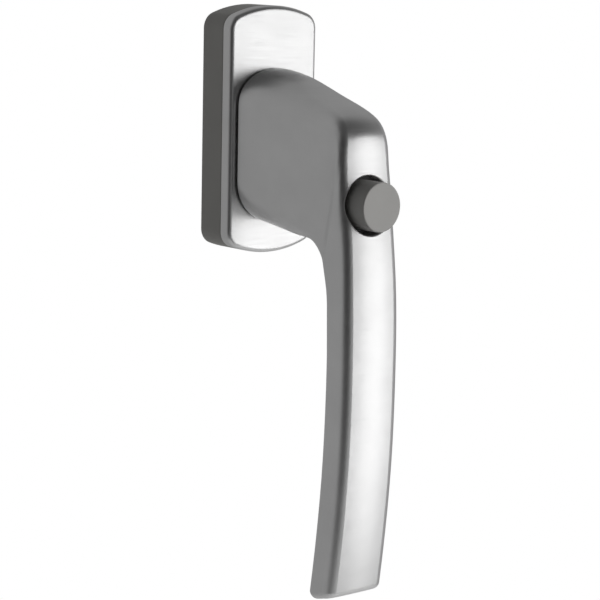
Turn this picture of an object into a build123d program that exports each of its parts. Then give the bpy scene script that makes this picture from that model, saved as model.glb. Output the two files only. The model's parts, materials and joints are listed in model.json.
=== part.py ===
"""Tilt turn window handle with a push button.

Millimetres. The origin lies on the spindle axis in the rosette's mounting face, +X is to the right as
seen from the room, -Y points at the user and +Z is up. Depths are measured from the mounting face
towards the user, so a depth d is the plane y = -d. The grip hangs down, which is the closed position.
"""

import os
from math import atan, cos, degrees, radians, sin, tan

from build123d import *

# Rosette
ROSETTE_WIDTH = 31.4
ROSETTE_HEIGHT = 70.0
END_ARCH = 3.6  # rise of the arched top and bottom ends
CORNER_RADIUS = 4.6
BASE_DEPTH = 9.1
COVER_BACK = 9.2
COVER_FRONT = 12.55
COVER_EDGE_RADIUS = 1.35
COVER_WALL = 1.4
COVER_HOLE_RADIUS = 12.0
BASE_WALL = 1.8
BASE_FRONT_RADIUS = 0.5
BASE_REAR_CHAMFER = 0.2
CAVITY_DEPTH = 5.0
CAVITY_BAND = 16.0  # the base stays solid within this height of the spindle axis
RIB_THICKNESS = 1.2

# Fixing to the sash
SCREW_SPACING = 43.0
SCREW_HOLE_RADIUS = 2.65
SCREW_HEAD_RADIUS = 5.1
PEG_RADIUS = 5.0
PEG_LENGTH = 4.0
PEG_CHAMFER = 0.6
SCREW_TOWER_RADIUS = 5.6  # round each screw hole inside the base

# Support plate let into the base
PLATE_WIDTH = 28.0
PLATE_HEIGHT = 56.0
PLATE_CORNER_RADIUS = 5.0
PLATE_BACK = 6.6
PLATE_FRONT = 8.6
PLATE_PLAY = 0.1

# Lock ring and bearing
RING_RADIUS = 12.6
RING_BACK = 3.3
RING_TOP = 10.8
RING_WALL = 1.1
RING_PLAY = 0.15  # between the lock ring and the cover's frame
TRACK_RADIUS = 9.9  # path of the lock pin about the spindle axis
TRACK_WIDTH = 3.0
BEAD_RADIUS = 13.0
BEAD_THICKNESS = 0.6
BEAD_TOP = 10.7
BUSH_RADIUS = 7.5
BUSH_COLLAR_RADIUS = 8.2
BUSH_COLLAR_FRONT = 9.2
RUNNING_CLEARANCE = 0.04

# Drive sleeve, spindle and detent
SLEEVE_RADIUS = 6.5
SLEEVE_FRONT = 26.0
SLEEVE_FLAT = 5.9  # half distance between the two flats that carry the cam
FLANGE_BACK = 13.7
FLANGE_FRONT = 16.3
FLANGE_WIDTH = 22.6
FLANGE_HEIGHT = 13.4
FLANGE_RISE = 0.7
SPINDLE_SIZE = 7.0
SPINDLE_PLAY = 0.05
SPINDLE_REAR = -10.0
SPINDLE_FRONT = 36.0
SPINDLE_BORE_RADIUS = 5.8
SPINDLE_BORE_END = 38.5
CAM_BACK = 0.9
CAM_FRONT = 2.6
CAM_HALF = 7.6
CAM_CORNER_RADIUS = 9.3
LEAF_THICKNESS = 0.5
LEAF_LENGTH = 32.0
LEAF_SLOT_WIDTH = 1.2
LEAF_SLOT_FRONT = 3.0
WORKING_GAP = 0.05

# Button and lock
BUTTON_HEIGHT = -17.1  # button axis below the spindle axis
BUTTON_RADIUS = 6.8
BUTTON_FACE = 59.25
BUTTON_SKIRT = 46.6
BUTTON_HOLE_RADIUS = 8.14
BUTTON_HOLE_BOTTOM = 42.5
BUTTON_HOLE_EDGE = 0.35
BUTTON_EDGE_RADIUS = 0.35
BUTTON_WALL = 1.2
BUTTON_FLOOR = 56.6
BUTTON_SPRING_SEAT = 47.0
GUIDE_FRONT = 50.3
GUIDE_PLAY = 0.07
PLUNGER_RADIUS = 2.0
PLUNGER_NECK_RADIUS = 1.6
PLUNGER_PLAY = 0.06
PLUNGER_REAR = 17.0
PLUNGER_FRONT = 55.1
SLIDER_BACK = 17.9
SLIDER_FRONT = 20.8
SLIDER_SIZE = (8.0, 12.0)
SLIDER_HEIGHT = -14.3
SLIDER_ROOM = 0.65
PIN_TIP = 7.3
PIN_RADIUS = 1.0
PIN_HEAD_RADIUS = 1.2
PIN_HEAD_LENGTH = 1.4
PIN_HEAD_CHAMFER = 0.2
SPRING_RADIUS = 3.6
SPRING_WIRE_RADIUS = 0.35
SPRING_SEAT = 37.6
SPRING_POCKET_RADIUS = 4.6
SPRING_TURNS = 4

# Neck and grip: cross-sections from the neck's root, round the shoulder, down to the grip's end.
# Each has its outer point (depth, height), inner point (depth, height), half width,
# outer corner radii (across the width, square to the outer face) and inner corner radius.
ROOT_DEPTH = 13.3
GRIP_CORNER = (3.3, 3.3)
GRIP_INNER_RADIUS = 3.0
STATIONS = [
    ((ROOT_DEPTH, 17.5), (ROOT_DEPTH, -25.6), 13.45, (12.7, 9.6), 12.0),
    ((24.0, 15.4), (23.0, -26.7), 12.1, (9.5, 9.2), 9.4),
    ((35.9, 11.2), (32.8, -27.7), 10.45, (6.2, 6.6), 6.4),
    ((45.9, 7.8), (39.8, -28.8), 9.35, (4.7, 4.7), 4.2),
    ((51.3, 3.2), (44.2, -32.3), 9.3, (3.7, 3.7), 3.2),
    ((52.8, -6.4), (46.6, -36.4), 9.95, GRIP_CORNER, GRIP_INNER_RADIUS),
    ((54.3, -17.4), (47.6, -41.6), 9.85, GRIP_CORNER, GRIP_INNER_RADIUS),
    ((56.4, -36.2), (48.0, -49.4), 10.1, GRIP_CORNER, GRIP_INNER_RADIUS),
    ((57.3, -62.0), (47.9, -64.0), 10.25, GRIP_CORNER, GRIP_INNER_RADIUS),
    ((56.6, -90.0), (47.1, -89.0), 10.3, GRIP_CORNER, GRIP_INNER_RADIUS),
    ((54.6, -112.0), (45.0, -111.5), 10.33, GRIP_CORNER, GRIP_INNER_RADIUS),
    ((52.7, -126.3), (42.7, -128.9), 10.37, GRIP_CORNER, GRIP_INNER_RADIUS),
]
SECTIONS = 40  # sections of the loft, spaced evenly between the first and the last station
CROWN_ANGLE = radians(7)  # slope of the bulged outer face where it meets the corners
GRIP_END_RADIUS = 2.2
ROOT_EDGE = 0.3


def at_depth(depth):
    """The plane parallel to the sash at a depth; its sketches use x and height, and extrude to the user."""
    return Plane.XZ.offset(depth)


def slab(back, front, mode=Mode.ADD, profile=None):
    """Extrude a sketch drawn at depth back, by default the pending one, as far as depth front."""
    extrude(profile and profile.sketch, amount=front - back, mode=mode)


def disc(radius, back, front, at=(0, 0), mode=Mode.ADD):
    """A cylinder along the depth axis."""
    with BuildSketch(at_depth(back)) as profile:
        with Locations(at):
            Circle(radius)
    slab(back, front, mode, profile)


def ring(outer, inner, back, front, at=(0, 0), mode=Mode.ADD):
    """A tube along the depth axis."""
    with BuildSketch(at_depth(back)) as profile:
        with Locations(at):
            Circle(outer)
            Circle(inner, mode=Mode.SUBTRACT)
    slab(back, front, mode, profile)


def block(width, height, back, front, at=(0, 0), mode=Mode.ADD):
    """A rectangular block centred at a point of the sash plane."""
    with BuildSketch(at_depth(back)) as profile:
        with Locations(at):
            Rectangle(width, height)
    slab(back, front, mode, profile)


def rounded_block(width, height, radius, back, front, at=(0, 0), mode=Mode.ADD):
    """A block with rounded corners."""
    with BuildSketch(at_depth(back)) as profile:
        with Locations(at):
            RectangleRounded(width, height, radius)
    slab(back, front, mode, profile)


def rosette_outline(inset=0.0):
    """The rosette's outline in the current sketch: straight sides and shallow arched ends."""
    half_width = ROSETTE_WIDTH / 2
    side_end = ROSETTE_HEIGHT / 2 - END_ARCH
    with BuildSketch(mode=Mode.PRIVATE) as outline:
        with BuildLine():
            Line((half_width, -side_end), (half_width, side_end))
            ThreePointArc((half_width, side_end), (0, ROSETTE_HEIGHT / 2), (-half_width, side_end))
            Line((-half_width, side_end), (-half_width, -side_end))
            ThreePointArc((-half_width, -side_end), (0, -ROSETTE_HEIGHT / 2), (half_width, -side_end))
        make_face()
        fillet(outline.vertices(), CORNER_RADIUS)
        if inset:
            offset(amount=-inset, mode=Mode.REPLACE)
    add(outline.sketch)


def save(piece, name):
    """Label a finished piece and write it to its own file."""
    piece.part.label = name
    export_step(piece.part, f"parts/{name}.step")


os.makedirs("parts", exist_ok=True)

SCREW_POINTS = [(0, SCREW_SPACING / 2), (0, -SCREW_SPACING / 2)]
BUTTON_POINT = (0, BUTTON_HEIGHT)
PIN_POINT = (0, -TRACK_RADIUS)
LEAF_OFFSET = CAM_HALF + WORKING_GAP + LEAF_THICKNESS / 2

# Plastic base with the two locating pegs, hollow behind, open in the middle for the lock ring.
with BuildPart() as base_plate:
    with BuildSketch(at_depth(0)):
        rosette_outline()
    slab(0, BASE_DEPTH)
    fillet(base_plate.faces().sort_by(Axis.Y)[0].edges(), BASE_FRONT_RADIUS)
    chamfer(base_plate.faces().sort_by(Axis.Y)[-1].edges(), BASE_REAR_CHAMFER)
    with BuildSketch(at_depth(0)):
        rosette_outline(inset=BASE_WALL)
        Rectangle(ROSETTE_WIDTH, 2 * CAVITY_BAND, mode=Mode.SUBTRACT)
        with Locations(SCREW_POINTS):
            Circle(SCREW_TOWER_RADIUS, mode=Mode.SUBTRACT)
            Rectangle(ROSETTE_WIDTH, RIB_THICKNESS, mode=Mode.SUBTRACT)
        with GridLocations(2 * SCREW_TOWER_RADIUS, 0, 2, 1):
            Rectangle(RIB_THICKNESS, ROSETTE_HEIGHT, mode=Mode.SUBTRACT)
    slab(0, CAVITY_DEPTH, Mode.SUBTRACT)
    for point in SCREW_POINTS:
        disc(PEG_RADIUS, -PEG_LENGTH, 0, point)
    chamfer(base_plate.edges().group_by(Axis.Y)[-1], PEG_CHAMFER)
    for point in SCREW_POINTS:
        disc(SCREW_HOLE_RADIUS, -PEG_LENGTH, BASE_DEPTH, point, Mode.SUBTRACT)
    disc(RING_RADIUS + PLATE_PLAY, 0, BASE_DEPTH, mode=Mode.SUBTRACT)
    rounded_block(
        PLATE_WIDTH + 2 * PLATE_PLAY, PLATE_HEIGHT + 2 * PLATE_PLAY, PLATE_CORNER_RADIUS,
        PLATE_BACK, BASE_DEPTH, mode=Mode.SUBTRACT,
    )
    for side in (-1, 1):
        slot = (side * LEAF_OFFSET, 0)
        block(LEAF_SLOT_WIDTH, LEAF_LENGTH + 1, 0, LEAF_SLOT_FRONT, slot, Mode.SUBTRACT)
save(base_plate, "base_plate")

# Steel support plate: countersunk for the two fixing screws, holds the lock ring.
with BuildPart() as support_plate:
    rounded_block(PLATE_WIDTH, PLATE_HEIGHT, PLATE_CORNER_RADIUS, PLATE_BACK, PLATE_FRONT)
    disc(RING_RADIUS, PLATE_BACK, PLATE_FRONT, mode=Mode.SUBTRACT)
    with Locations(at_depth(PLATE_FRONT)):
        with Locations(SCREW_POINTS):
            CounterSinkHole(SCREW_HOLE_RADIUS, SCREW_HEAD_RADIUS)
save(support_plate, "support_plate")

# Lock ring: bearing hub, half-round track for the lock pin, collar and bead that hold the cover.
with BuildPart() as lock_ring:
    disc(RING_RADIUS, RING_BACK, RING_TOP)
    disc(BEAD_RADIUS, BEAD_TOP - BEAD_THICKNESS, BEAD_TOP)
    disc(RING_RADIUS - RING_WALL, PLATE_FRONT, RING_TOP, mode=Mode.SUBTRACT)
    disc(BUSH_RADIUS, RING_BACK, PLATE_FRONT, mode=Mode.SUBTRACT)
    with BuildSketch(at_depth(RING_BACK)):
        Circle(TRACK_RADIUS + TRACK_WIDTH / 2)
        Circle(TRACK_RADIUS - TRACK_WIDTH / 2, mode=Mode.SUBTRACT)
        with Locations((-RING_RADIUS - TRACK_WIDTH / 2, 0)):
            Rectangle(2 * RING_RADIUS, 2 * RING_RADIUS, mode=Mode.SUBTRACT)
    slab(RING_BACK, PLATE_FRONT, Mode.SUBTRACT)
save(lock_ring, "lock_ring")

# Flanged bush that the drive sleeve turns in.
with BuildPart() as bearing_bush:
    disc(BUSH_RADIUS, RING_BACK, PLATE_FRONT)
    disc(BUSH_COLLAR_RADIUS, PLATE_FRONT, BUSH_COLLAR_FRONT)
    disc(SLEEVE_RADIUS + RUNNING_CLEARANCE, RING_BACK, BUSH_COLLAR_FRONT, mode=Mode.SUBTRACT)
save(bearing_bush, "bearing_bush")

# Washer between the cam and the bearing, takes the pull on the handle.
with BuildPart() as thrust_washer:
    ring(BUSH_COLLAR_RADIUS, SLEEVE_RADIUS + PLATE_PLAY, CAM_FRONT + WORKING_GAP, RING_BACK - WORKING_GAP)
save(thrust_washer, "thrust_washer")

# Two leaf springs that press on the flats of the cam.
with BuildPart() as detent_springs:
    for side in (-1, 1):
        block(LEAF_THICKNESS, LEAF_LENGTH, CAM_BACK, CAM_FRONT, (side * LEAF_OFFSET, 0))
save(detent_springs, "detent_springs")

# Square cam with rounded corners, gives a click every 90 degrees.
with BuildPart() as detent_cam:
    with BuildSketch(at_depth(CAM_BACK)):
        Circle(CAM_CORNER_RADIUS)
        Rectangle(2 * CAM_HALF, 2 * CAM_HALF, mode=Mode.INTERSECT)
        with BuildSketch(mode=Mode.SUBTRACT):
            Circle(SLEEVE_RADIUS)
            Rectangle(2 * SLEEVE_FLAT, 2 * SLEEVE_RADIUS, mode=Mode.INTERSECT)
    slab(CAM_BACK, CAM_FRONT)
save(detent_cam, "detent_cam")

# Drive sleeve: round body, flange in the neck, square bore for the spindle, groove for the circlip.
SLEEVE_BACK = 0.1
GROOVE_BACK = 0.25
GROOVE_FRONT = 0.85
GROOVE_RADIUS = 5.7
FLANGE_CORNER_RADIUS = 3.0
SLEEVE_SCREWS = [(-8.6, 3.0), (8.6, 3.0)]
SCREW_SHANK_RADIUS = 1.25
SCREW_TOP_RADIUS = 2.3
with BuildPart() as drive_sleeve:
    disc(SLEEVE_RADIUS, SLEEVE_BACK, SLEEVE_FRONT)
    rounded_block(
        FLANGE_WIDTH, FLANGE_HEIGHT, FLANGE_CORNER_RADIUS, FLANGE_BACK, FLANGE_FRONT, (0, FLANGE_RISE)
    )
    for side in (-1, 1):
        flat = (side * (SLEEVE_FLAT + SLEEVE_RADIUS / 2), 0)
        block(SLEEVE_RADIUS, 2 * SLEEVE_RADIUS, SLEEVE_BACK, CAM_FRONT, flat, Mode.SUBTRACT)
    ring(SLEEVE_RADIUS + 1, GROOVE_RADIUS, GROOVE_BACK, GROOVE_FRONT, mode=Mode.SUBTRACT)
    bore_size = SPINDLE_SIZE + 2 * SPINDLE_PLAY
    block(bore_size, bore_size, SLEEVE_BACK, SLEEVE_FRONT, mode=Mode.SUBTRACT)
    with Locations(at_depth(FLANGE_BACK).rotated((180, 0, 0))):
        with Locations([(x, -z) for x, z in SLEEVE_SCREWS]):
            CounterSinkHole(SCREW_SHANK_RADIUS, SCREW_TOP_RADIUS)
save(drive_sleeve, "drive_sleeve")

# Two countersunk screws that hold the flange in the neck.
SCREW_LENGTH = 9.0
SCREW_POINT_LENGTH = 0.8
SOCKET_RADIUS = 1.0
SOCKET_DEPTH = 1.0
with BuildPart() as sleeve_screws:
    cone_length = SCREW_TOP_RADIUS - SCREW_SHANK_RADIUS
    for x, z in SLEEVE_SCREWS:
        with BuildSketch(Plane.XY.offset(z)):
            with BuildLine():
                Polyline(
                    (x, -FLANGE_BACK),
                    (x + SCREW_TOP_RADIUS, -FLANGE_BACK),
                    (x + SCREW_SHANK_RADIUS, -FLANGE_BACK - cone_length),
                    (x + SCREW_SHANK_RADIUS, -FLANGE_BACK - SCREW_LENGTH + SCREW_POINT_LENGTH),
                    (x, -FLANGE_BACK - SCREW_LENGTH),
                    close=True,
                )
            make_face()
        revolve(axis=Axis((x, 0, z), (0, 1, 0)))
        with BuildSketch(at_depth(FLANGE_BACK)):
            with Locations((x, z)):
                RegularPolygon(SOCKET_RADIUS, 6)
        slab(FLANGE_BACK, FLANGE_BACK + SOCKET_DEPTH, Mode.SUBTRACT)
save(sleeve_screws, "sleeve_screws")

# Circlip on the sleeve's rear end.
CIRCLIP_RADIUS = 7.6
CIRCLIP_GAP = 3.0
with BuildPart() as retaining_ring:
    ring(CIRCLIP_RADIUS, GROOVE_RADIUS, GROOVE_BACK, GROOVE_FRONT)
    opening = (0, (CIRCLIP_RADIUS + GROOVE_RADIUS) / 2)
    block(CIRCLIP_GAP, GROOVE_RADIUS, GROOVE_BACK, GROOVE_FRONT, opening, Mode.SUBTRACT)
save(retaining_ring, "retaining_ring")

# 7 mm square spindle, pushed home; it slides out of the sleeve to reach the gear in the sash.
SPINDLE_CHAMFER = 0.7
with BuildPart() as spindle:
    block(SPINDLE_SIZE, SPINDLE_SIZE, SPINDLE_REAR, SPINDLE_FRONT)
    chamfer(spindle.faces().sort_by(Axis.Y)[-1].edges(), SPINDLE_CHAMFER)
    chamfer(spindle.faces().sort_by(Axis.Y)[0].edges(), SPINDLE_CHAMFER)
save(spindle, "spindle")

# Spring clip in the neck: a ring with two tongues that lie along the spindle's sides.
CLIP_BACK = 26.1
CLIP_RING_FRONT = 29.0
CLIP_FRONT = 34.0
CLIP_THICKNESS = 0.4
CLIP_WIDTH = 4.4
CLIP_WEB = (1.6, 2.0)
CLIP_WEB_OFFSET = 4.7
with BuildPart() as spindle_clip:
    ring(SPINDLE_BORE_RADIUS, SPINDLE_BORE_RADIUS - CLIP_THICKNESS, CLIP_BACK, CLIP_RING_FRONT)
    for side in (-1, 1):
        tongue = SPINDLE_SIZE / 2 + WORKING_GAP + CLIP_THICKNESS / 2
        block(CLIP_THICKNESS, CLIP_WIDTH, CLIP_BACK, CLIP_FRONT, (side * tongue, 0))
        block(*CLIP_WEB, CLIP_BACK, CLIP_RING_FRONT, (side * CLIP_WEB_OFFSET, 0))
save(spindle_clip, "spindle_clip")

# Smooth tracks through the stations: outer point and half width, inner point and corner, outer corner.
middles = [Vector(o[0] + i[0], o[1] + i[1]) / 2 for o, i, *_ in STATIONS]
spans = [0.0]
for last, new in zip(middles, middles[1:]):
    spans.append(spans[-1] + (new - last).length)
outer_track = Edge.make_spline([Vector(*o, w) for o, _, w, _, _ in STATIONS], parameters=spans)
inner_track = Edge.make_spline([Vector(*i, r) for _, i, _, _, r in STATIONS], parameters=spans)
corner_track = Edge.make_spline([Vector(*c, s) for (*_, c, _), s in zip(STATIONS, spans)], parameters=spans)

def track_point(track, step):
    """A point of a track, at a step from 0 at the root to SECTIONS at the grip's end."""
    return Vector(track.geom_adaptor().Value(spans[-1] * min(max(step, 0), SECTIONS) / SECTIONS))


# Neck and grip in one casting, hollow behind for the sleeve and the lock, bored for the button.
with BuildPart() as handle_body:
    for step in range(SECTIONS + 1):
        outer = track_point(outer_track, step)
        inner = track_point(inner_track, step)
        corner = track_point(corner_track, step)
        ahead = track_point(outer_track, step + 0.5) - track_point(outer_track, step - 0.5)
        rise = Vector(outer.X - inner.X, outer.Y - inner.Y).normalized()
        lean = abs(rise.cross(Vector(ahead.X, ahead.Y).normalized()).Z)  # 1 where square to the face
        half_width = outer.Z
        inner_radius = inner.Z
        across = corner.X
        along = corner.Y / lean
        up = Vector(0, inner.X - outer.X, outer.Y - inner.Y)
        middle = Vector(0, -(outer.X + inner.X) / 2, (outer.Y + inner.Y) / 2)
        top = up.length / 2
        side = half_width - across
        foot = half_width - inner_radius
        corner_angle = atan(corner.Y / (across * tan(CROWN_ANGLE)))
        shoulder = Vector(side + across * cos(corner_angle), top - along * (1 - sin(corner_angle)))
        summit = shoulder.Y + shoulder.X * tan(atan(tan(CROWN_ANGLE) / lean) / 2)
        with BuildSketch(Plane(origin=middle, x_dir=(1, 0, 0), z_dir=Vector(1, 0, 0).cross(up))):
            with BuildLine():
                Line((-half_width, inner_radius - top), (-half_width, top - along))
                EllipticalCenterArc(
                    (-side, top - along), across, along,
                    180 - degrees(corner_angle), arc_size=degrees(corner_angle),
                )
                ThreePointArc((-shoulder.X, shoulder.Y), (0, summit), (shoulder.X, shoulder.Y))
                EllipticalCenterArc((side, top - along), across, along, 0, arc_size=degrees(corner_angle))
                Line((half_width, top - along), (half_width, inner_radius - top))
                CenterArc((foot, inner_radius - top), inner_radius, 270, 90)
                Line((foot, -top), (-foot, -top))
                CenterArc((-foot, inner_radius - top), inner_radius, 180, 90)
            make_face()
    loft()
    fillet(handle_body.faces().sort_by(Axis.Z)[0].edges(), GRIP_END_RADIUS)
    chamfer(handle_body.faces().sort_by(Axis.Y)[-1].edges(), ROOT_EDGE)
    disc(BUTTON_HOLE_RADIUS, BUTTON_HOLE_BOTTOM, BUTTON_FACE, BUTTON_POINT, Mode.SUBTRACT)
    hole = handle_body.faces(Select.LAST).filter_by(GeomType.CYLINDER)
    fillet(hole.edges().group_by(Axis.Y)[0], BUTTON_HOLE_EDGE)
    rounded_block(
        FLANGE_WIDTH, FLANGE_HEIGHT, FLANGE_CORNER_RADIUS, ROOT_DEPTH, FLANGE_FRONT, (0, FLANGE_RISE),
        Mode.SUBTRACT,
    )
    disc(SLEEVE_RADIUS, ROOT_DEPTH, SLEEVE_FRONT, mode=Mode.SUBTRACT)
    disc(SPINDLE_BORE_RADIUS, SLEEVE_FRONT, SPINDLE_BORE_END, mode=Mode.SUBTRACT)
    block(
        SLIDER_SIZE[0] + 2 * SLIDER_ROOM, SLIDER_SIZE[1] + 2 * SLIDER_ROOM,
        ROOT_DEPTH, SLIDER_FRONT + WORKING_GAP, (0, SLIDER_HEIGHT), Mode.SUBTRACT,
    )
    disc(PLUNGER_RADIUS + PLUNGER_PLAY, SLIDER_FRONT, BUTTON_HOLE_BOTTOM, BUTTON_POINT, Mode.SUBTRACT)
    disc(SPRING_POCKET_RADIUS, SPRING_SEAT, BUTTON_HOLE_BOTTOM, BUTTON_POINT, Mode.SUBTRACT)
    for point in SLEEVE_SCREWS:
        disc(SCREW_SHANK_RADIUS, FLANGE_FRONT, FLANGE_BACK + SCREW_LENGTH, point, Mode.SUBTRACT)
save(handle_body, "handle_body")

# Aluminium cover with a rounded front edge.
with BuildPart() as cover_plate:
    with BuildSketch(at_depth(COVER_BACK)):
        rosette_outline()
    slab(COVER_BACK, COVER_FRONT)
    fillet(cover_plate.faces().sort_by(Axis.Y)[0].edges(), COVER_EDGE_RADIUS)
    with BuildSketch(at_depth(COVER_BACK)):
        rosette_outline(inset=COVER_WALL)
    slab(COVER_BACK, COVER_FRONT - COVER_WALL, Mode.SUBTRACT)
    disc(COVER_HOLE_RADIUS, COVER_BACK, COVER_FRONT, mode=Mode.SUBTRACT)
save(cover_plate, "cover_plate")

# Plastic frame inside the cover, snaps under the lock ring's bead and turns on it.
FRAME_BACK = 9.4
LIP_FRONT = 10.0
SCREW_WINDOW = (18.0, 13.0)
SCREW_WINDOW_RADIUS = 3.0
with BuildPart() as cover_frame:
    with BuildSketch(at_depth(FRAME_BACK)):
        rosette_outline(inset=COVER_WALL)
        with Locations(SCREW_POINTS):
            RectangleRounded(*SCREW_WINDOW, SCREW_WINDOW_RADIUS, mode=Mode.SUBTRACT)
    slab(FRAME_BACK, COVER_FRONT - COVER_WALL)
    disc(RING_RADIUS + RING_PLAY, FRAME_BACK, LIP_FRONT, mode=Mode.SUBTRACT)
    disc(BEAD_RADIUS + RING_PLAY, LIP_FRONT, COVER_FRONT - COVER_WALL, mode=Mode.SUBTRACT)
save(cover_frame, "cover_frame")

# Dark ring in the cover's hole that keeps the neck off the cover.
GLIDE_HOLE_RADIUS = 11.4
GLIDE_FLANGE_RADIUS = 13.3
GLIDE_FRONT = 13.15
with BuildPart() as glide_ring:
    disc(COVER_HOLE_RADIUS, COVER_FRONT - COVER_WALL, COVER_FRONT)
    disc(GLIDE_FLANGE_RADIUS, COVER_FRONT, GLIDE_FRONT)
    disc(GLIDE_HOLE_RADIUS, COVER_FRONT - COVER_WALL, GLIDE_FRONT, mode=Mode.SUBTRACT)
save(glide_ring, "glide_ring")

# Dark sleeve in the grip's hole that guides the button.
with BuildPart() as button_guide:
    ring(BUTTON_HOLE_RADIUS, BUTTON_RADIUS + GUIDE_PLAY, BUTTON_HOLE_BOTTOM, GUIDE_FRONT, BUTTON_POINT)
save(button_guide, "button_guide")

# Push button, hollow behind, with a boss for the plunger and the spring.
BOSS_RADIUS = 4.3
with BuildPart() as button:
    disc(BUTTON_RADIUS, BUTTON_SKIRT, BUTTON_FACE, BUTTON_POINT)
    fillet(button.faces().sort_by(Axis.Y)[0].edges(), BUTTON_EDGE_RADIUS)
    ring(BUTTON_RADIUS - BUTTON_WALL, BOSS_RADIUS, BUTTON_SKIRT, BUTTON_FLOOR, BUTTON_POINT, Mode.SUBTRACT)
    disc(BOSS_RADIUS, BUTTON_SKIRT, BUTTON_SPRING_SEAT, BUTTON_POINT, Mode.SUBTRACT)
    disc(PLUNGER_RADIUS, BUTTON_SKIRT, PLUNGER_FRONT, BUTTON_POINT, Mode.SUBTRACT)
save(button, "button")

# Plunger from the button to the lock slider, with a groove for its clip.
CLIP_GROOVE_RADIUS = 1.2
CLIP_GROOVE_BACK = 17.3
with BuildPart() as plunger:
    disc(PLUNGER_RADIUS, SLIDER_FRONT, PLUNGER_FRONT, BUTTON_POINT)
    disc(PLUNGER_NECK_RADIUS, PLUNGER_REAR, SLIDER_FRONT, BUTTON_POINT)
    ring(
        PLUNGER_RADIUS, CLIP_GROOVE_RADIUS, CLIP_GROOVE_BACK, SLIDER_BACK, BUTTON_POINT,
        Mode.SUBTRACT,
    )
save(plunger, "plunger")

# Bracket that carries the lock pin, nearer to the spindle axis than the plunger.
SLIDER_CORNER_RADIUS = 2.0
with BuildPart() as lock_slider:
    rounded_block(*SLIDER_SIZE, SLIDER_CORNER_RADIUS, SLIDER_BACK, SLIDER_FRONT, (0, SLIDER_HEIGHT))
    disc(PLUNGER_NECK_RADIUS, SLIDER_BACK, SLIDER_FRONT, BUTTON_POINT, Mode.SUBTRACT)
    disc(PIN_RADIUS, SLIDER_BACK, SLIDER_FRONT, PIN_POINT, Mode.SUBTRACT)
save(lock_slider, "lock_slider")

# Headed lock pin that runs in the lock ring's track.
with BuildPart() as lock_pin:
    disc(PIN_HEAD_RADIUS, PIN_TIP, PIN_TIP + PIN_HEAD_LENGTH, PIN_POINT)
    chamfer(lock_pin.edges(), PIN_HEAD_CHAMFER)
    disc(PIN_RADIUS, PIN_TIP + PIN_HEAD_LENGTH, SLIDER_FRONT, PIN_POINT)
save(lock_pin, "lock_pin")

# Open clip in the plunger's groove, behind the slider.
PLUNGER_CLIP_RADIUS = 3.2
PLUNGER_CLIP_MOUTH = 1.8
with BuildPart() as plunger_clip:
    ring(PLUNGER_CLIP_RADIUS, CLIP_GROOVE_RADIUS, CLIP_GROOVE_BACK, SLIDER_BACK, BUTTON_POINT)
    mouth = (0, BUTTON_HEIGHT - PLUNGER_CLIP_RADIUS / 2)
    block(
        PLUNGER_CLIP_MOUTH, PLUNGER_CLIP_RADIUS, CLIP_GROOVE_BACK, SLIDER_BACK, mouth, Mode.SUBTRACT
    )
save(plunger_clip, "plunger_clip")

# Coil spring between the grip and the button's boss.
with BuildPart() as return_spring:
    spring_back = SPRING_SEAT + SPRING_WIRE_RADIUS + WORKING_GAP
    spring_front = BUTTON_SPRING_SEAT - SPRING_WIRE_RADIUS - WORKING_GAP
    coil_height = spring_front - spring_back
    with BuildLine() as coil:
        Helix(
            coil_height / SPRING_TURNS, coil_height, SPRING_RADIUS,
            center=(0, -spring_back, BUTTON_HEIGHT), direction=(0, -1, 0),
        )
    with BuildSketch(Plane(origin=coil.line @ 0, z_dir=coil.line % 0)):
        Circle(SPRING_WIRE_RADIUS)
    sweep(path=coil.line, is_frenet=True)
save(return_spring, "return_spring")
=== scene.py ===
import json
import math

import bpy
from mathutils import Matrix, Vector


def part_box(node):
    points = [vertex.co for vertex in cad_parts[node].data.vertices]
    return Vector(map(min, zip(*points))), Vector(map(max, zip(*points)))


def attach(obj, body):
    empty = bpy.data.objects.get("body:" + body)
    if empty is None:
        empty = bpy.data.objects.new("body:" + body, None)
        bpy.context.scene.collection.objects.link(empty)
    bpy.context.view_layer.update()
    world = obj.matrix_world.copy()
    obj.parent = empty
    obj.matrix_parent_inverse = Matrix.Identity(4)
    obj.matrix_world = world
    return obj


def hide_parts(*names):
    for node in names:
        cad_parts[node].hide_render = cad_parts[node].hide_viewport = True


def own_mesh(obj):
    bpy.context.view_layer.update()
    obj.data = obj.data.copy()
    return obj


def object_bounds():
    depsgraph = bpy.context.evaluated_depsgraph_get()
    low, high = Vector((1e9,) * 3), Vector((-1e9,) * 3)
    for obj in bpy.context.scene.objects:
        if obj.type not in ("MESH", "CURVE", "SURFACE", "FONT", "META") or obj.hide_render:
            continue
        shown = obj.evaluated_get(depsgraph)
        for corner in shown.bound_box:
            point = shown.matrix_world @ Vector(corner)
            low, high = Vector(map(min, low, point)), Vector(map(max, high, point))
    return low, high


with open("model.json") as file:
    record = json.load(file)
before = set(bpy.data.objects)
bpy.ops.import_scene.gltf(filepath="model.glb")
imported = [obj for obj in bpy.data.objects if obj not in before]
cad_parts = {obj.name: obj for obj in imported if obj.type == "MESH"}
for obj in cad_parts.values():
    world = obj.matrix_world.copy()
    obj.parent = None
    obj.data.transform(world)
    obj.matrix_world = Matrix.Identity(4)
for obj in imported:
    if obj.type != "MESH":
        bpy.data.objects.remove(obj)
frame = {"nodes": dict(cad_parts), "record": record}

CAD_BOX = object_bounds()
NODES = frame["nodes"]

# Camera: seen from the left of the handle and a little above, as in a catalogue picture.
CAMERA_AZIMUTH = math.radians(40.35)
CAMERA_ELEVATION = math.radians(9.48)
CAMERA_ROLL = math.radians(1.19)
CAMERA_DISTANCE = 0.64955
CAMERA_LENS = 133.7
CAMERA_TARGET = Vector((0.0128, -0.01088, -0.05029))

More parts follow.
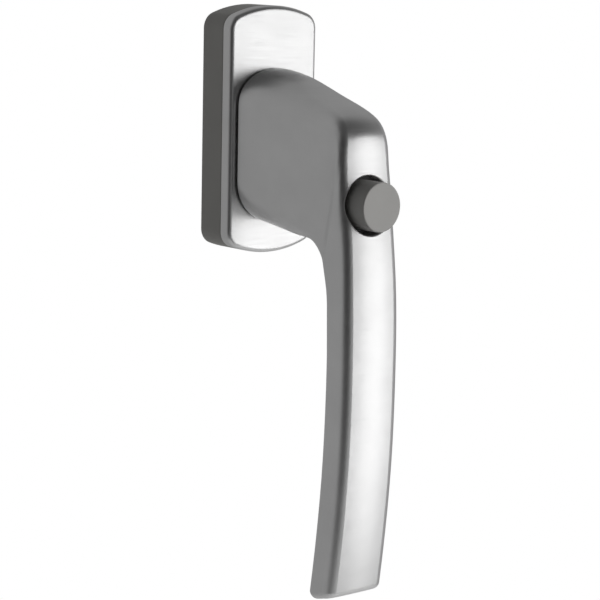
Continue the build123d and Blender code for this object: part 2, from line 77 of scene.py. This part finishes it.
# Return spring: wire radius and turns. Then the mesh's
# rings per turn of the coil, and sides of a ring.
WIRE_RADIUS = 0.00035
SPRING_TURNS = 4
RINGS_PER_TURN = 40
WIRE_SIDES = 12

# Pale round floor: radius, drop below the grip's end, and sides.
FLOOR_RADIUS = 0.45
FLOOR_DROP = 0.30
FLOOR_SIDES = 96

# Surface noise: colour variation and brushed lines in features per metre, the brushed lines'
# share of the relief, and the part of the noise's range that the ramps use.
BROAD_SCALE = 90
LINE_SCALE = 3500
LINE_SHARE = 0.6
NOISE_LOW, NOISE_HIGH = 0.3, 0.7
BUMP_STRENGTH = 0.5

# Room light, and the flags that darken it: azimuth, elevation, inner and outer radius, level.
ROOM_LEVEL = 0.29
FLAGS = [
    (10, 45, 25, 65, 0.2),
    (-38, 0, 14, 48, 0.1),
]


def make_camera():
    """The camera looks at CAMERA_TARGET from CAMERA_DISTANCE away, turned by CAMERA_ROLL."""
    sin_a, cos_a = math.sin(CAMERA_AZIMUTH), math.cos(CAMERA_AZIMUTH)
    sin_e, cos_e = math.sin(CAMERA_ELEVATION), math.cos(CAMERA_ELEVATION)
    back = Vector((-sin_a * cos_e, -cos_a * cos_e, sin_e))
    right = Vector((cos_a, -sin_a, 0))
    up = back.cross(right)
    turn = Matrix.Rotation(CAMERA_ROLL, 3, back)
    right, up = turn @ right, turn @ up
    data = bpy.data.cameras.new("camera")
    data.lens = CAMERA_LENS
    camera = bpy.data.objects.new("camera", data)
    camera.matrix_world = Matrix.Translation(CAMERA_TARGET + back * CAMERA_DISTANCE) @ (
        Matrix((right, up, back)).transposed().to_4x4()
    )
    bpy.context.scene.collection.objects.link(camera)
    bpy.context.scene.camera = camera


def toward(azimuth, elevation):
    """Unit vector out from the handle. Azimuth 0 is in front of it, positive to its right."""
    a, e = math.radians(azimuth), math.radians(elevation)
    return Vector((math.sin(a) * math.cos(e), -math.cos(a) * math.cos(e), math.sin(e)))


def area_light(name, azimuth, elevation, distance, size, power, glossy=True):
    """A softbox that looks at the handle; without glossy it gives no reflection."""
    out = toward(azimuth, elevation)
    data = bpy.data.lights.new(name, "AREA")
    data.shape = "RECTANGLE"
    data.size, data.size_y = size
    data.energy = power
    light = bpy.data.objects.new(name, data)
    light.location = CAMERA_TARGET + out * distance
    light.rotation_euler = out.to_track_quat("Z", "Y").to_euler()
    light.visible_glossy = glossy
    bpy.context.scene.collection.objects.link(light)


def make_world():
    """A grey room, white to the camera, that FLAGS darken behind the camera and above."""
    world = bpy.data.worlds.new("studio")
    bpy.context.scene.world = world
    world.use_nodes = True
    tree = world.node_tree
    background = tree.nodes["Background"]
    background.inputs["Color"].default_value = (1, 1, 1, 1)
    coords = tree.nodes.new("ShaderNodeTexCoord")
    level = None
    for azimuth, elevation, inner, outer, value in FLAGS:
        dot = tree.nodes.new("ShaderNodeVectorMath")
        dot.operation = "DOT_PRODUCT"
        dot.inputs[1].default_value = toward(azimuth, elevation)
        tree.links.new(coords.outputs["Generated"], dot.inputs[0])
        flag = tree.nodes.new("ShaderNodeMapRange")
        flag.interpolation_type = "SMOOTHSTEP"
        flag.inputs["From Min"].default_value = math.cos(math.radians(outer))
        flag.inputs["From Max"].default_value = math.cos(math.radians(inner))
        flag.inputs["To Max"].default_value = value
        if level is None:
            flag.inputs["To Min"].default_value = ROOM_LEVEL
            flag.inputs["To Max"].default_value = ROOM_LEVEL * value
        else:
            tree.links.new(level, flag.inputs["To Min"])
            scaled = tree.nodes.new("ShaderNodeMath")
            scaled.operation = "MULTIPLY"
            scaled.inputs[1].default_value = value
            tree.links.new(level, scaled.inputs[0])
            tree.links.new(scaled.outputs["Value"], flag.inputs["To Max"])
        tree.links.new(dot.outputs["Value"], flag.inputs["Value"])
        level = flag.outputs["Result"]
    path = tree.nodes.new("ShaderNodeLightPath")
    mix = tree.nodes.new("ShaderNodeMix")
    mix.inputs["B"].default_value = 1.0
    tree.links.new(path.outputs["Is Camera Ray"], mix.inputs["Factor"])
    tree.links.new(level, mix.inputs["A"])
    tree.links.new(mix.outputs["Result"], background.inputs["Strength"])


def make_stage():
    """A plain pale floor below the handle, which hangs in the air as if on a sash."""
    material = bpy.data.materials.new("stage_floor")
    material.use_nodes = True
    shader = material.node_tree.nodes["Principled BSDF"]
    shader.inputs["Base Color"].default_value = (0.9, 0.9, 0.9, 1)
    shader.inputs["Roughness"].default_value = 0.9
    height = CAD_BOX[0][2] - FLOOR_DROP
    turns = [2 * math.pi * step / FLOOR_SIDES for step in range(FLOOR_SIDES)]
    rim = [(FLOOR_RADIUS * math.cos(a), FLOOR_RADIUS * math.sin(a), height) for a in turns]
    mesh = bpy.data.meshes.new("stage_floor")
    mesh.from_pydata(rim, [], [range(FLOOR_SIDES)])
    mesh.materials.append(material)
    floor = bpy.data.objects.new("stage_floor", mesh)
    bpy.context.scene.collection.objects.link(floor)


def noise(tree, coords, scale, detail, stretch=(1, 1, 1)):
    """Noise on the object's own coordinates, in features per metre, drawn out by stretch."""
    mapping = tree.nodes.new("ShaderNodeMapping")
    mapping.inputs["Scale"].default_value = [1 / length for length in stretch]
    texture = tree.nodes.new("ShaderNodeTexNoise")
    texture.inputs["Scale"].default_value = scale
    texture.inputs["Detail"].default_value = detail
    tree.links.new(coords.outputs["Object"], mapping.inputs["Vector"])
    tree.links.new(mapping.outputs["Vector"], texture.inputs["Vector"])
    return texture.outputs["Fac"]


def grainy(name, color, metallic, roughness, grain_mm, depth_mm, brushed=None, tint=0.03, spread=0.05):
    """A material with a fine grain, slight colour variation and uneven gloss.

    tint and spread are how far colour and roughness vary. brushed adds faint lines, drawn out
    by that factor along each axis.
    """
    material = bpy.data.materials.new(name)
    material.use_nodes = True
    tree = material.node_tree
    shader = tree.nodes["Principled BSDF"]
    shader.inputs["Metallic"].default_value = metallic
    coords = tree.nodes.new("ShaderNodeTexCoord")
    fine = noise(tree, coords, 1000 / grain_mm, 3)
    broad = noise(tree, coords, BROAD_SCALE, 4)
    ramp = tree.nodes.new("ShaderNodeValToRGB")
    dark, light = ramp.color_ramp.elements
    dark.position, light.position = NOISE_LOW, NOISE_HIGH
    dark.color = [c * (1 - tint) for c in color] + [1]
    light.color = [c * (1 + tint) for c in color] + [1]
    tree.links.new(broad, ramp.inputs["Fac"])
    tree.links.new(ramp.outputs["Color"], shader.inputs["Base Color"])
    height = fine
    if brushed:
        lines = noise(tree, coords, LINE_SCALE, 2, brushed)
        blend = tree.nodes.new("ShaderNodeMix")
        blend.inputs["Factor"].default_value = LINE_SHARE
        tree.links.new(fine, blend.inputs["A"])
        tree.links.new(lines, blend.inputs["B"])
        height = blend.outputs["Result"]
    gloss = tree.nodes.new("ShaderNodeMapRange")
    gloss.inputs["From Min"].default_value = NOISE_LOW
    gloss.inputs["From Max"].default_value = NOISE_HIGH
    gloss.inputs["To Min"].default_value = roughness - spread
    gloss.inputs["To Max"].default_value = roughness + spread
    tree.links.new(height, gloss.inputs["Value"])
    tree.links.new(gloss.outputs["Result"], shader.inputs["Roughness"])
    bump = tree.nodes.new("ShaderNodeBump")
    bump.inputs["Distance"].default_value = depth_mm / 1000
    bump.inputs["Strength"].default_value = BUMP_STRENGTH
    tree.links.new(height, bump.inputs["Height"])
    tree.links.new(bump.outputs["Normal"], shader.inputs["Normal"])
    return material


def make_return_spring(material):
    """The coil behind the button, built as it rests: rings along a helix. Nothing here closes it when
    the button is pressed.
    """
    low, high = (Vector(corner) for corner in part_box("return_spring"))
    middle = (low + high) / 2
    radius = (high.x - low.x) / 2 - WIRE_RADIUS
    rear = high.y - WIRE_RADIUS
    travel = low.y + WIRE_RADIUS - rear
    rise = travel / (2 * math.pi * SPRING_TURNS * radius)
    steps, sides = SPRING_TURNS * RINGS_PER_TURN, WIRE_SIDES
    verts = []
    for step in range(steps + 1):
        turn = 2 * math.pi * SPRING_TURNS * step / steps
        out = Vector((math.cos(turn), 0, math.sin(turn)))
        path = Vector((-math.sin(turn), rise, math.cos(turn))).normalized()
        side = path.cross(out)
        centre = Vector((middle.x, rear + travel * step / steps, middle.z)) + out * radius
        for corner in range(sides):
            a = 2 * math.pi * corner / sides
            verts.append(centre + (out * math.cos(a) + side * math.sin(a)) * WIRE_RADIUS)
    faces = []
    for ring in range(0, steps * sides, sides):
        for corner in range(sides):
            following = (corner + 1) % sides
            faces.append(
                (ring + corner, ring + following, ring + sides + following, ring + sides + corner)
            )
    faces += [range(sides - 1, -1, -1), range(steps * sides, (steps + 1) * sides)]
    mesh = bpy.data.meshes.new("return_coil")
    mesh.from_pydata(verts, [], faces)
    mesh.polygons.foreach_set("use_smooth", [len(face) == 4 for face in faces])
    mesh.materials.append(material)
    spring = bpy.data.objects.new("return_coil", mesh)
    bpy.context.scene.collection.objects.link(spring)
    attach(spring, "handle")
    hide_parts("return_spring")
    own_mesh(spring)


make_camera()
make_world()
make_stage()
area_light("key", 40, -5, 0.9, (0.38, 0.85), 1.55)
area_light("fill", 45, 15, 1.2, (0.8, 0.8), 11.5, glossy=False)
bpy.context.scene.view_settings.view_transform = "Standard"

# Finish of each material slot: colour, metallic, roughness, grain and its depth in mm, brushing.
MATERIALS = {
    name: grainy(name, *look)
    for name, *look in [
        ("aluminium_satin", (0.80, 0.80, 0.80), 1, 0.36, 0.25, 0.004, (40, 40, 1)),
        ("grey_plastic", (0.33, 0.325, 0.31), 0, 0.5, 0.4, 0.01),
        ("button_plastic", (0.33, 0.325, 0.315), 0, 0.5, 0.3, 0.008),
        ("dark_plastic", (0.02, 0.02, 0.02), 0, 0.5, 0.4, 0.01),
        ("white_plastic", (0.65, 0.64, 0.6), 0, 0.4, 0.4, 0.01),
        ("zinc_steel", (0.60, 0.61, 0.62), 1, 0.25, 0.5, 0.004),
        ("zinc_cast", (0.42, 0.42, 0.41), 1, 0.45, 0.6, 0.02),
        ("spring_steel", (0.30, 0.30, 0.31), 1, 0.3, 0.5, 0.004),
    ]
}
SLOTS = {row["node"]: row["material_slot"] for row in frame["record"]["subparts"]}
for name, node in NODES.items():
    for slot in node.material_slots:
        slot.material = MATERIALS[SLOTS[name]]
make_return_spring(MATERIALS["spring_steel"])
